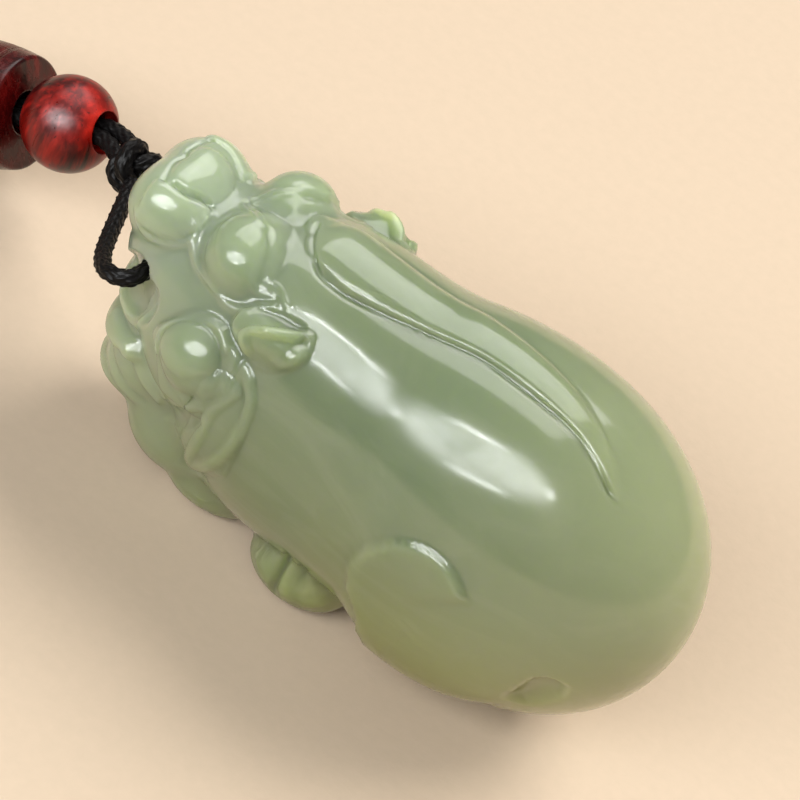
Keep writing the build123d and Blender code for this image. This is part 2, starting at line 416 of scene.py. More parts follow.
# The bow's points near its ends are left out, to give the rims room to be rounded.
bow = np.linspace(-1, 1, 41)
barrel_side = [(barrel_middle - (barrel_middle - barrel_end) * t * t, barrel_half * t) for t in bow]
barrel_profile = dense(rounded([(bore_radius, 0), (bore_radius, -barrel_half)] + barrel_side[:1]
                               + barrel_side[5:-5] + barrel_side[-1:]
                               + [(bore_radius, barrel_half), (bore_radius, 0)], barrel_ease))
ball = turned_piece("round_bead_turned", ball_profile, ball_along)
barrel = turned_piece("barrel_bead_turned", barrel_profile, barrel_along)

# %% [markdown]
# The round bead is red sandalwood: the grain runs through the wood in fine long streaks with dark pores,
# and it has a satin polish. The barrel is a darker, wine-coloured wood of the same kind. The streaks are
# clouds stretched along one direction of the wood. Each bead is also painted darker near the ground, as
# painted shade for the little light that reaches its underside.

# %% Wood


def wood(name, grain_turn, colours, pore, gloss):
    """A dense polished wood whose grain runs along one turned axis. Lengths here are in metres."""
    shader = Shader(name)
    grain = shader.noise(shader.stretched((1, 1, 0.12), grain_turn), 1500, detail=6, distortion=0.3)
    broad = shader.noise(shader.stretched((1, 1, 0.3), grain_turn), 260, detail=3, distortion=0.6)
    pores = shader.noise(shader.stretched((1, 1, 0.10), grain_turn), 3800, detail=2)
    body = shader.mix(0.55, shader.ramp(grain, colours), shader.ramp(broad, colours))
    height = shader.add("ShaderNodeSeparateXYZ", Vector=shader.place).outputs["Z"]
    # Painted shade: near the ground each bead is mixed towards its darkest wood colour, for the shade under
    # it.
    body = shader.mix(shader.span(height, 0.001, 0.0075, 0.92, 0.0), body, (*colours[0][1], 1))
    dark = shader.span(pores, 0.28, 0.38, 0.7, 0.0)
    shader.finish(
        Base_Color=shader.mix(dark, body, (*pore, 1)),
        Roughness=shader.span(grain, 0.3, 0.7, gloss, gloss + 0.14),
        Specular_IOR_Level=0.32,
        Normal=shader.bump(pores, 0.25, 0.00004, shader.bump(grain, 0.15, 0.00005)),
    )
    return shader


red_wood = wood(
    "red_sandalwood", (0.5, 0.9, 0.2),
    [(0.38, (0.012, 0.001, 0.001)), (0.51, (0.120, 0.002, 0.001)), (0.66, (0.42, 0.010, 0.003))],
    (0.012, 0.001, 0.001), 0.26)
dark_wood = wood(
    "dark_wine_wood", (1.2, 0.3, 0.1),
    [(0.36, (0.006, 0.000, 0.000)), (0.5, (0.042, 0.001, 0.001)), (0.68, (0.115, 0.004, 0.003))],
    (0.004, 0.001, 0.001), 0.18)
dress(ball, red_wood)
dress(barrel, dark_wood)
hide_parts("round_bead")
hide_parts("barrel_bead")

# %% [markdown]
# Two of these pieces are soft: the bail and the hanging loop of cord.

# %% The names of the two soft cords
print("soft pieces:", bail.name, "and", hanging.name)

# %% [markdown]
# ## The carving
# The carver first roughs the stone into large round masses, then cuts the lines and hollows into them,
# and polishes everything so that each edge melts a little. The model is made in the same order. The form
# is a field: a number for every point in space that says how far it lies outside the stone. The masses
# and leaves are those of the solid model.

# %% The masses
jade_length, jade_width, jade_height = 53.6, 24.5, 32.4

# A mass is one swelling of the carving: an ellipsoid that melts into the ones before it.
# ahead and long are shares of the length, out and wide of the width, up and high of the
# height, blend of the length. A mass with a side place stands on both sides.
Mass = namedtuple("Mass", "name ahead out up long wide high pitch blend")
masses = [
    Mass("rump", 0.236, 0.00, 0.508, 0.258, 0.455, 0.447, 0, 0.000),
    Mass("back", 0.085, 0.00, 0.530, 0.290, 0.462, 0.430, 0, 0.100),
    Mass("chest", -0.130, 0.00, 0.420, 0.230, 0.360, 0.390, 0, 0.100),
    Mass("neck", -0.190, 0.00, 0.575, 0.180, 0.350, 0.320, 0, 0.100),
    Mass("belly", 0.150, 0.00, 0.170, 0.240, 0.200, 0.190, 0, 0.060),
    Mass("head", -0.310, 0.00, 0.565, 0.130, 0.340, 0.265, 0, 0.060),
    Mass("muzzle", -0.400, 0.00, 0.630, 0.090, 0.245, 0.150, 0, 0.040),
    Mass("jaw", -0.365, 0.00, 0.290, 0.092, 0.240, 0.160, 0, 0.040),
    Mass("fore leg", -0.290, 0.09, 0.165, 0.095, 0.150, 0.145, 12, 0.030),
    Mass("lip wall", -0.398, 0.00, 0.470, 0.078, 0.230, 0.100, 0, 0.015),
    Mass("lip", -0.388, 0.00, 0.385, 0.092, 0.260, 0.045, 22, 0.012),
    Mass("chin", -0.378, 0.00, 0.240, 0.092, 0.220, 0.070, 18, 0.015),
    Mass("bridge", -0.350, 0.00, 0.750, 0.080, 0.170, 0.085, 0, 0.030),
    Mass("nose", -0.433, 0.00, 0.752, 0.066, 0.190, 0.097, -15, 0.020),
    Mass("nostril", -0.440, 0.09, 0.740, 0.062, 0.125, 0.100, -20, 0.020),
    Mass("brow", -0.300, 0.12, 0.800, 0.062, 0.155, 0.095, -10, 0.012),
    Mass("cheek", -0.275, 0.31, 0.595, 0.055, 0.115, 0.090, 0, 0.008),
    Mass("pouch", -0.270, 0.27, 0.500, 0.050, 0.110, 0.110, 0, 0.020),
    Mass("ear", -0.200, 0.31, 0.770, 0.058, 0.072, 0.055, 12, 0.008),
    Mass("thigh", 0.185, 0.29, 0.460, 0.200, 0.210, 0.310, 0, 0.006),
    Mass("hind foot", -0.025, 0.20, 0.095, 0.085, 0.115, 0.105, 6, 0.010),
    Mass("fore foot", -0.215, 0.10, 0.075, 0.085, 0.110, 0.090, 6, 0.010),
]

# A dent is cut back out of the masses, with the same columns.
dents = [
    Mass("mouth corner", -0.400, 0.270, 0.570, 0.030, 0.050, 0.075, -25, 0.012),
    Mass("under tail", 0.325, 0.270, 0.120, 0.030, 0.090, 0.060, 0, 0.015),
]
print(len(masses), "masses and", len(dents), "dents")

# %% The leaves
# A leaf is a long low relief along a line seen from above (out) or from the side (up).
# ahead is a share of the length, level of the width or the height, half of the width, and
# rise of the leaf's own half width.
Station = namedtuple("Station", "ahead level half")
Leaf = namedtuple("Leaf", "name seen rise line")
leaves = [
    Leaf("horn", "above", 0.27, [
        Station(-0.235, 0.055, 0.075), Station(-0.200, 0.018, 0.118),
        Station(-0.150, -0.003, 0.122), Station(-0.080, 0.000, 0.112),
        Station(0.000, 0.004, 0.100), Station(0.080, -0.010, 0.078),
        Station(0.160, -0.036, 0.064), Station(0.230, -0.074, 0.046),
        Station(0.280, -0.115, 0.034), Station(0.312, -0.138, 0.016),
    ]),
    Leaf("beard", "side", 0.17, [
        Station(-0.215, 0.600, 0.070), Station(-0.205, 0.480, 0.105),
        Station(-0.210, 0.380, 0.105), Station(-0.225, 0.300, 0.080),
    ]),
]
print(len(leaves), "leaves")

# %% The field


def melt(a, b, band):
    """The smaller of two depths, less a quarter of the band times the square of their nearness, which is 1
    where they are equal and 0 where they differ by the band or more."""
    if band <= 0:
        return np.minimum(a, b)
    near = np.clip(band - np.abs(a - b), 0, None) / band
    return np.minimum(a, b) - near * near * band / 4


def mass_depth(points, mass):
    """How far points lie outside one ellipsoid, less than zero inside it: with r the length of the place
    over the radii, r times r less one, over the steepness of r squared there."""
    size = np.array([jade_length, jade_width, jade_height])
    centre = np.array([mass.ahead, mass.out, mass.up]) * size
    radii = np.array([mass.long, mass.wide, mass.high]) * size
    place = points.copy()
    if mass.out:
        place[..., 1] = np.abs(place[..., 1])
    place = place - centre
    if mass.pitch:
        c, s = math.cos(math.radians(mass.pitch)), math.sin(math.radians(mass.pitch))
        place = place @ np.array([[c, 0, -s], [0, 1, 0], [s, 0, c]])
    ratio = np.linalg.norm(place / radii, axis=-1)
    slope = np.linalg.norm(place / radii**2, axis=-1) + 1e-9
    return ratio * (ratio - 1) / slope


def leaf_rise(points, leaf):
    """How far a leaf lifts the surface: its rise times its half width times the root of one less the square
    of the distance from its line over the half width, and nothing past its edges."""
    if leaf.seen == "above":
        flat = points[..., [0, 1]]
        sizes = np.array([jade_length, jade_width])
        facing = points[..., 2] > jade_height / 2
    else:
        flat = points[..., [0, 2]]
        sizes = np.array([jade_length, jade_height])
        facing = np.abs(points[..., 1]) > jade_width / 8
    lift = np.zeros(flat.shape[:-1])
    for first, last in zip(leaf.line[:-1], leaf.line[1:]):
        start = np.array([first.ahead, first.level]) * sizes
        run = np.array([last.ahead, last.level]) * sizes - start
        along = np.clip(((flat - start) @ run) / (run @ run), 0, 1)
        off = np.linalg.norm(flat - start - along[..., None] * run, axis=-1)
        half = (first.half + along * (last.half - first.half)) * jade_width
        dome = np.sqrt(np.clip(1 - (off / half) ** 2, 0, 1))
        lift = np.maximum(lift, leaf.rise * half * dome)
    return np.where(facing, lift, 0.0)


def jade_depth(points):
    """How far points lie outside the carving: the masses melted together, dents out, leaves on."""
    depth = mass_depth(points, masses[0])
    for mass in masses[1:]:
        depth = melt(depth, mass_depth(points, mass), mass.blend * jade_length)
    for dent in dents:
        depth = -melt(-depth, mass_depth(points, dent), dent.blend * jade_length)
    for leaf in leaves:
        depth = depth - leaf_rise(points, leaf)
    return depth


# %% [markdown]
# The surface is then found by rays. They start on a line inside the body, and each goes out until the
# field says that it has left the stone. A ray is set by two numbers, its angle from the nose and its turn
# round the body, so the surface is again an array of rows and columns. The rows are close together on the
# head, where the carving is fine, and wide apart on the smooth rump.

# %% The stone's surface
pole_angle = 0.004
crowding = 0.35
ray_steps, halvings = 60, 11
inner_ahead, inner_run = -0.27, 0.50
inner_up, inner_drop = 0.58, 0.10


def surface_grid(nose_rows, tail_rows, turns):
    """Points where rays from the inner line leave the stone, rows from nose to tail. A point is the ray's
    start plus its way times the largest distance at which the field is still below zero: found in even
    steps, and then by halving. The turns lie closer together over the back than under the belly."""
    polar = np.concatenate([
        np.linspace(pole_angle, 0.5 * math.pi, nose_rows),
        np.linspace(0.5 * math.pi, math.pi - pole_angle, tail_rows + 1)[1:],
    ])
    share = 0.5 - 0.5 * np.cos(polar)
    start = np.stack([jade_length * (inner_ahead + inner_run * share), 0 * share,
                      jade_height * (inner_up - inner_drop * share)], axis=-1)[:, None, :]
    even = np.linspace(0, 1, turns, endpoint=False)
    turn = 2 * math.pi * even + crowding * np.sin(2 * math.pi * even)
    sideways = np.sin(polar)[:, None]
    ray = np.stack([-np.cos(polar)[:, None] + 0 * turn, sideways * np.sin(turn),
                    -sideways * np.cos(turn)], axis=-1)
    low = np.zeros(ray.shape[:2])
    step = jade_length / ray_steps
    for i in range(1, ray_steps + 1):
        low = np.where(jade_depth(start + ray * (i * step)) < 0, i * step, low)
    high = low + step
    for _ in range(halvings):
        middle = (low + high) / 2
        within = jade_depth(start + ray * middle[..., None]) < 0
        low, high = np.where(within, middle, low), np.where(within, high, middle)
    grid = start + ray * ((low + high) / 2)[..., None]
    grid[..., 2] = np.maximum(grid[..., 2], 0.0)
    return grid


def outward(grid):
    """The surface's own directions: across its rows and its columns both, turned away from its middle."""
    down = np.gradient(grid, axis=0)
    round_way = np.roll(grid, -1, axis=1) - np.roll(grid, 1, axis=1)
    way = np.cross(round_way, down)
    way /= np.linalg.norm(way, axis=-1)[..., None] + 1e-12
    middle = grid.mean(axis=(0, 1))
    return way if ((grid - middle) * way).sum() > 0 else -way


# %% [markdown]
# ## The carved lines
# After the masses the carver cuts the lines with a small wheel: creases, lids, rims and hollows. Three
# kinds of cut do it all. A line is a groove or a ridge along a curve, a step is an edge with high ground on
# its left that fades away from it, and a patch is a closed outline that is raised or hollowed, with a rim
# if it has one. Each cut is a short list of points on the stone, in millimetres, on the left side. A cut
# marked both is also on the right. The distances are measured in the plane that touches the stone there.

# %% The patches
Line = namedtuple("Line", "name sides rise width points")
Step = namedtuple("Step", "name sides rise width fade points")
Patch = namedtuple("Patch", "name sides rise edge rim dish outline")
patches = [
    Patch("nostril", "both", 0.30, 0.7, 0, 0, [
        (-25.0, -5.0, 24.6), (-25.2, -4.2, 25.8), (-25.1, -3.2, 26.8), (-23.7, -3.0, 27.1),
        (-22.5, -2.9, 27.0), (-21.0, -2.1, 26.7), (-20.3, -3.0, 26.2), (-20.6, -4.0, 25.4),
        (-21.4, -4.8, 24.5), (-22.4, -5.3, 24.1), (-23.7, -5.4, 24.0), (-24.6, -5.2, 24.2)]),
    Patch("nose top", "one", 0.38, 1.9, 0, 0, [
        (-24.9, 0.3, 26.9), (-24.6, 1.4, 27.2), (-23.8, 2.1, 27.3), (-22.7, 2.1, 27.2), (-21.7, 1.8, 26.9),
        (-20.9, 0.9, 26.8), (-20.4, -0.6, 27.0), (-20.9, -1.9, 26.7), (-22.0, -2.3, 26.9),
        (-23.0, -2.8, 27.1), (-24.2, -2.6, 27.2), (-24.8, -1.4, 27.2)]),
    Patch("brow ball", "both", 0.16, 1.6, 0, 0, [
        (-18.9, -3.6, 27.4), (-18.3, -5.2, 27.2), (-17.3, -6.3, 26.9), (-16.0, -6.6, 26.6),
        (-14.9, -6.4, 26.4), (-14.3, -5.8, 27.0), (-14.3, -5.1, 27.8), (-14.8, -4.0, 28.6),
        (-15.9, -3.0, 29.0), (-17.3, -2.2, 28.8), (-18.5, -2.3, 28.0)]),
    Patch("eye", "both", 0.16, 0.5, 0, 0, [
        (-14.6, -6.1, 26.7), (-14.4, -5.8, 27.0), (-13.7, -5.5, 26.9), (-13.0, -5.4, 26.9),
        (-12.2, -5.6, 26.8), (-12.8, -5.9, 26.4), (-13.6, -6.1, 26.2)]),
    Patch("ear", "both", 0.20, 0.55, 0.45, 0.55, [
        (-12.7, -9.1, 25.1), (-12.0, -9.3, 24.0), (-11.1, -9.1, 23.1), (-9.5, -9.1, 23.3),
        (-8.2, -8.7, 24.4), (-7.6, -8.0, 25.4), (-7.5, -7.2, 26.4), (-7.8, -6.6, 27.0), (-8.5, -6.5, 27.1),
        (-9.8, -7.1, 26.8), (-11.3, -8.0, 26.4), (-12.4, -8.6, 26.0)]),
    Patch("ear root", "both", -0.30, 1.1, 0, 0, [
        (-13.5, -8.2, 25.0), (-13.2, -7.3, 25.4), (-12.3, -6.5, 26.0), (-10.9, -6.2, 26.7),
        (-9.6, -6.1, 27.0), (-8.8, -6.3, 27.1), (-9.5, -7.1, 26.7), (-10.7, -7.9, 26.5), (-11.9, -8.6, 25.9),
        (-12.8, -8.9, 25.1)]),
    Patch("cheek ball", "both", 0.25, 0.9, 0, 0, [
        (-17.4, -8.9, 19.3), (-17.5, -8.5, 20.3), (-17.0, -8.3, 21.4), (-16.1, -8.2, 22.2),
        (-14.9, -8.3, 22.6), (-13.9, -8.6, 22.4), (-13.3, -9.0, 21.6), (-13.3, -9.7, 20.6),
        (-14.0, -10.3, 19.7), (-15.3, -10.4, 19.1), (-16.5, -9.9, 19.1)]),
    Patch("pouch", "both", 0.50, 0.7, 0, 0, [
        (-19.0, -8.1, 18.5), (-18.0, -8.5, 17.3), (-17.2, -8.6, 15.8), (-16.3, -8.8, 14.7),
        (-14.9, -9.4, 15.0), (-13.5, -9.7, 15.3), (-12.4, -10.3, 16.7), (-12.1, -10.3, 18.3),
        (-11.3, -10.3, 20.2), (-11.4, -9.5, 21.3), (-11.9, -9.2, 22.7), (-13.1, -8.4, 23.2),
        (-14.4, -7.9, 23.5), (-16.6, -8.2, 22.4), (-18.4, -8.2, 20.4)]),
    Patch("recess", "both", -0.40, 1.6, 0, 0, [
        (-16.8, -6.6, 10.8), (-14.6, -9.2, 14.2), (-13.0, -9.9, 15.2), (-12.0, -10.4, 15.8),
        (-12.0, -10.4, 15.0), (-13.1, -9.5, 13.0), (-15.0, -6.8, 9.4), (-16.4, -5.8, 8.5)]),
    Patch("beard", "both", 0.35, 0.45, 0.7, 0.30, [
        (-11.5, -9.3, 22.6), (-10.6, -9.5, 22.5), (-9.8, -9.6, 21.9), (-9.0, -10.1, 20.8),
        (-8.6, -10.5, 18.6), (-8.7, -10.8, 15.7), (-9.8, -10.0, 11.7), (-11.0, -8.8, 9.1),
        (-12.4, -6.9, 7.4), (-12.9, -8.2, 9.2), (-12.6, -9.7, 12.6), (-12.3, -10.3, 15.1),
        (-12.4, -10.4, 16.7), (-12.1, -10.3, 18.3), (-11.4, -10.3, 20.2), (-11.6, -9.5, 21.3)]),
    Patch("mouth", "both", -0.80, 0.9, 0, 0, [
        (-25.1, -3.3, 14.9), (-23.8, -4.4, 14.8), (-22.7, -5.3, 15.1), (-21.7, -5.7, 15.6),
        (-21.2, -5.8, 16.8), (-21.3, -5.6, 17.9), (-21.3, -5.7, 19.2), (-21.2, -5.9, 20.6),
        (-22.2, -6.2, 21.5), (-23.5, -5.8, 21.4), (-24.4, -5.0, 20.6), (-25.2, -4.0, 19.0),
        (-25.5, -3.3, 17.0)]),
    Patch("hole", "both", -2.6, 0.3, 0, 0, [
        (-21.3, -6.0, 20.2), (-21.6, -6.0, 21.0), (-22.3, -6.0, 21.4), (-23.1, -6.0, 21.2),
        (-23.5, -6.0, 20.4), (-23.3, -6.0, 19.5), (-22.6, -6.0, 19.0), (-21.7, -6.0, 19.3)]),
    Patch("first toe pad", "both", 0.45, 0.9, 0, 0, [
        (-4.7, -6.8, 3.5), (-4.1, -6.9, 4.5), (-3.0, -7.5, 5.6), (-2.2, -7.7, 5.2), (-2.2, -7.6, 3.6),
        (-2.4, -7.4, 2.3), (-3.6, -7.2, 2.4)]),
    Patch("last toe pad", "both", 0.45, 0.9, 0, 0, [
        (-1.8, -7.6, 5.4), (-0.7, -7.7, 5.3), (0.9, -7.4, 4.9), (2.3, -6.7, 4.0), (1.8, -6.8, 2.8),
        (0.5, -7.3, 2.0), (-1.2, -7.5, 2.0), (-1.8, -7.5, 3.4)]),
    Patch("cleft", "both", -0.65, 1.8, 0, 0, [
        (18.4, -9.6, 11.3), (18.8, -9.9, 13.3), (19.4, -9.7, 15.0), (20.5, -9.2, 15.6), (21.7, -8.4, 14.8),
        (21.7, -8.1, 13.4), (20.7, -8.3, 11.7), (19.5, -8.5, 10.5)]),
]
print(len(patches), "patches")

# %% The lines and the step
lines = [
    Line("nostril wing", "both", -0.20, 0.22, [
        (-24.8, -0.1, 27.0), (-25.1, -0.9, 26.9), (-24.9, -2.1, 27.1), (-24.6, -3.0, 26.9)]),
    Line("nose crease", "one", -0.35, 0.22, [
        (-23.8, -3.0, 27.1), (-23.0, -3.0, 27.1), (-22.4, -2.8, 27.0), (-21.9, -2.4, 26.9),
        (-21.3, -2.1, 26.8), (-20.8, -2.1, 26.6)]),
    Line("near wrinkle", "both", 0.18, 0.18, [(-20.8, -2.1, 26.6), (-20.7, -2.7, 26.4), (-20.8, -3.6, 25.9)]),
    Line("far wrinkle", "both", 0.18, 0.18, [(-20.2, -2.4, 26.6), (-20.4, -3.0, 26.3), (-20.4, -3.7, 25.8)]),
    Line("nostril rim", "both", 0.22, 0.30, [
        (-25.1, -5.2, 24.6), (-24.5, -5.5, 24.0), (-23.7, -5.7, 23.6), (-22.9, -5.7, 23.6),
        (-22.1, -5.5, 23.8), (-21.2, -5.0, 24.2), (-20.4, -4.5, 24.9)]),
    Line("lid ridge", "both", 0.25, 0.32, [
        (-20.5, -3.8, 25.6), (-19.9, -4.6, 24.9), (-18.8, -5.5, 24.5), (-17.4, -6.3, 24.7),
        (-16.1, -6.9, 24.8), (-14.8, -7.1, 24.7), (-13.5, -7.0, 25.2), (-12.7, -6.6, 26.0),
        (-11.8, -6.2, 26.6)]),
    Line("long brow line", "both", 0.15, 0.20, [
        (-18.9, -0.6, 27.3), (-17.4, -2.0, 28.7), (-16.2, -2.6, 29.0)]),
    Line("short brow line", "both", 0.12, 0.18, [
        (-18.5, -0.3, 27.4), (-17.3, -1.4, 28.5), (-16.6, -2.0, 28.9)]),
    Line("brow side", "both", -0.20, 0.32, [
        (-15.7, -2.6, 29.0), (-15.1, -3.3, 28.8), (-14.6, -4.0, 28.4), (-14.3, -4.8, 28.0),
        (-14.0, -5.3, 27.4), (-13.9, -5.7, 26.9)]),
    Line("upper lid", "both", 0.13, 0.24, [
        (-14.3, -5.8, 27.0), (-13.2, -5.3, 26.9), (-12.0, -5.4, 27.0), (-11.1, -5.8, 27.0)]),
    Line("lid fold", "both", 0.10, 0.20, [(-13.2, -4.9, 27.2), (-12.2, -5.0, 27.3), (-11.1, -5.6, 27.1)]),
    Line("cheek arc", "both", 0.28, 0.28, [
        (-17.6, -8.7, 18.1), (-18.1, -8.4, 19.3), (-17.8, -8.2, 20.8), (-16.7, -8.0, 22.4),
        (-15.2, -7.9, 23.2), (-14.0, -8.1, 23.2), (-13.0, -8.6, 22.6)]),
    Line("pouch corner", "both", 0.22, 0.45, [(-14.1, -9.6, 16.7), (-13.8, -9.6, 16.4), (-13.5, -9.6, 16.1)]),
    Line("ear fold", "both", 0.22, 0.30, [
        (-10.9, -8.4, 26.2), (-9.7, -8.0, 26.4), (-9.0, -7.4, 26.6), (-8.4, -6.8, 27.0)]),
    Line("mouth rim", "both", 0.20, 0.30, [
        (-20.6, -6.2, 20.6), (-20.5, -6.0, 19.0), (-20.5, -5.9, 17.6), (-20.8, -6.0, 16.0),
        (-21.6, -5.8, 14.9), (-22.8, -5.2, 14.3)]),
    Line("lip ridge", "both", 0.35, 0.50, [
        (-24.2, -3.6, 12.2), (-22.8, -5.0, 12.6), (-21.5, -5.9, 12.7), (-20.3, -6.0, 11.8),
        (-18.9, -6.2, 10.8), (-17.3, -6.2, 10.2)]),
    Line("lip groove", "both", -0.45, 0.40, [
        (-23.6, -4.4, 14.0), (-22.3, -5.4, 14.0), (-21.0, -6.0, 13.8), (-19.7, -6.5, 12.9),
        (-18.4, -6.5, 12.0), (-16.8, -7.2, 11.9)]),
    Line("upper chin line", "both", -0.30, 0.32, [
        (-23.6, -3.6, 9.3), (-22.5, -4.7, 9.0), (-21.1, -5.6, 8.7), (-19.8, -5.9, 8.4), (-18.6, -5.8, 8.3)]),
    Line("lower chin line", "both", -0.28, 0.30, [
        (-24.2, -2.6, 7.3), (-22.6, -4.6, 7.5), (-21.2, -5.4, 7.0), (-19.7, -5.6, 6.4)]),
    Line("neck fold", "both", -0.35, 0.40, [
        (-13.9, -6.6, 7.6), (-13.5, -5.9, 5.2), (-12.3, -6.2, 5.2), (-11.1, -7.6, 7.0)]),
    Line("horn groove", "one", -0.32, 0.20, [
        (-13.5, 0.9, 29.0), (-13.2, -0.2, 29.1), (-11.9, -2.0, 29.0), (-10.6, -2.9, 28.9),
        (-8.9, -3.2, 29.0), (-7.4, -3.2, 29.2), (-5.1, -3.0, 29.7), (-3.0, -2.7, 30.1), (-0.6, -2.5, 30.6),
        (2.8, -2.3, 31.4), (5.9, -2.3, 31.5), (9.2, -2.6, 31.7), (12.0, -3.0, 31.7), (14.4, -3.7, 31.2),
        (16.6, -4.0, 29.7)]),
    Line("first toe", "both", -0.45, 0.26, [
        (-2.0, -9.0, 7.5), (-2.1, -7.3, 5.2), (-2.0, -7.6, 4.0), (-2.0, -7.7, 3.1), (-2.0, -7.4, 1.5)]),
    Line("second toe", "both", -0.40, 0.26, [
        (-0.5, -9.0, 7.6), (-0.5, -8.2, 6.4), (-0.4, -7.5, 4.4), (-0.1, -7.6, 3.5), (-0.1, -7.3, 1.6)]),
]
steps = [
    Step("thigh", "both", 0.55, 0.28, 3.5, [
        (12.0, -11.6, 20.1), (11.2, -11.6, 20.9), (9.9, -11.5, 21.5), (8.4, -11.6, 21.6), (6.6, -11.6, 20.9),
        (5.1, -11.7, 19.5), (3.9, -11.8, 17.5), (3.6, -11.6, 15.0), (4.1, -11.3, 12.6), (5.6, -11.2, 10.4),
        (7.0, -9.2, 4.6)]),
]
print(len(lines), "lines and", len(steps), "step")

# %% [markdown]
# Each curve is smoothed through its points, and the distance of a point of the stone from it is the
# distance to the nearest of its short straight pieces. A groove's section is a bell curve of that distance,
# a raised patch rises at its edge as a quarter circle does, so its foot is a crisp line as on the polished
# stone, and a step is high at its line and fades over a few millimetres.

# %% The shape of each cut
end_fade = 0.5


def curve_through(points, closed):
    """A smooth curve through points, each of its pieces cut into eight. A piece is a cubic in t that has,
    at each of its ends, the direction from the point before it to the point after it."""
    points = np.array(points, float)
    t = np.linspace(0, 1, 8, endpoint=False)[:, None]
    count = len(points)
    spans = count if closed else count - 1
    out = []
    for i in range(spans):
        if closed:
            a, b, c, d = (points[(i + k) % count] for k in (-1, 0, 1, 2))
        else:
            b, c = points[i], points[i + 1]
            a = points[i - 1] if i else 2 * b - c
            d = points[i + 2] if i + 2 < count else 2 * c - b
        out.append(0.5 * (2 * b + (c - a) * t + (2 * a - 5 * b + 4 * c - d) * t * t
                          + (3 * b - 3 * c + d - a) * t**3))
    if not closed:
        out.append(points[-1:])
    return np.concatenate(out)


def flatten(curve, outside):
    """The middle of a curve, the two directions of the plane there that lies square to outside, and the
    direction out of it."""
    n = outside / np.linalg.norm(outside)
    u = np.cross([0.1, 1.0, 0.2], n)
    u /= np.linalg.norm(u)
    return curve.mean(axis=0), np.stack([u, np.cross(n, u)], axis=1), n


def distances(flat, curve, closed):
    """Distance of flat points from a flat curve, the side (more than zero on its left or, for a closed
    curve, inside it), and how far a point lies past an open curve's end. On a straight piece, the nearest
    place is the point's foot on it, held between the ends."""
    ends = np.roll(curve, -1, axis=0) if closed else curve[1:]
    starts = curve if closed else curve[:-1]
    best = np.full(len(flat), 1e9)
    side = np.zeros(len(flat))
    past = np.zeros(len(flat))
    inside = np.zeros(len(flat), bool)
    for start, end in zip(starts, ends):
        run = end - start
        off = flat - start
        share = (off @ run) / (run @ run)
        along = np.clip(share, 0, 1)
        gap = np.linalg.norm(off - along[:, None] * run, axis=1)
        nearer = gap < best
        best = np.where(nearer, gap, best)
        side = np.where(nearer, run[0] * off[:, 1] - run[1] * off[:, 0], side)
        past = np.where(nearer, np.abs(share - along) * np.linalg.norm(run), past)
        if closed:
            crosses = (start[1] > flat[:, 1]) != (end[1] > flat[:, 1])
            with np.errstate(divide="ignore", invalid="ignore"):
                at = start[0] + (flat[:, 1] - start[1]) * run[0] / run[1]
            inside ^= crosses & (flat[:, 0] < at)
    return best, np.where(inside, 1.0, -1.0) if closed else np.sign(side), past


def cut_height(cut, off, side, past):
    """How far one cut lifts the surface. A line is a bell curve of the distance. A step is a smooth stair
    across its line that fades with the distance and past its ends. A patch is a quarter circle inward from
    its outline, less its dish inside the rim."""
    if isinstance(cut, Line):
        return cut.rise * np.exp(-(off / cut.width) ** 2)
    if isinstance(cut, Step):
        sharp = np.clip(0.5 + side * off / cut.width / 2, 0, 1)
        return cut.rise * sharp * sharp * (3 - 2 * sharp) * np.exp(-off / cut.fade - (past / end_fade) ** 2)
    inward = np.clip(side * off, 0, None)
    t = np.clip(inward / cut.edge, 0, 1)
    height = cut.rise * np.sqrt(1 - (1 - t) ** 2)
    if cut.rim:
        t = np.clip((inward - cut.rim) / cut.edge, 0, 1)
        height = height - cut.dish * t * t * (3 - 2 * t)
    return height


# %% The cutting
fading_room, depth_room, least_facing = 6.0, 2.5, 0.1


def carve(grid):
    """The surface with every cut in it: each point plus its outward direction times the sum of the cuts'
    heights there. A cut works only near its own plane and where the stone faces as the plane does."""
    way = outward(grid)
    points, ways = grid.reshape(-1, 3), way.reshape(-1, 3)
    lift = np.zeros(len(points))
    for cut in patches + lines + steps:
        closed = isinstance(cut, Patch)
        given = cut.outline if closed else cut.points
        curve = curve_through(given, closed)
        nearest = [np.argmin(((points - place) ** 2).sum(axis=1)) for place in given]
        middle, plane, n = flatten(curve, ways[nearest].mean(axis=0))
        for mirror in ((1, -1) if cut.sides == "both" else (1,)):
            flip = np.array([1, mirror, 1])
            near = points * flip - middle
            flat_curve = (curve - middle) @ plane
            reach = 1.5 * (np.abs(flat_curve).max() + fading_room)
            depth_band = np.abs((curve - middle) @ n).max() + depth_room
            close = (np.abs(near @ n) < depth_band) & (np.linalg.norm(near, axis=1) < reach)
            close &= (ways * flip) @ n > least_facing
            chosen = np.nonzero(close)[0]
            lift[chosen] += cut_height(cut, *distances(near[chosen] @ plane, flat_curve, closed))
    return grid + way * lift.reshape(grid.shape[:2])[..., None]


# %% Build the stone
nose_rows, tail_rows, turns = 210, 75, 340
inside_solid = np.array([0.9995, 0.9995, 0.998])
jade = grid_mesh("jade_carving", carve(surface_grid(nose_rows, tail_rows, turns)) * inside_solid, caps=True)
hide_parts("jade_pixiu")
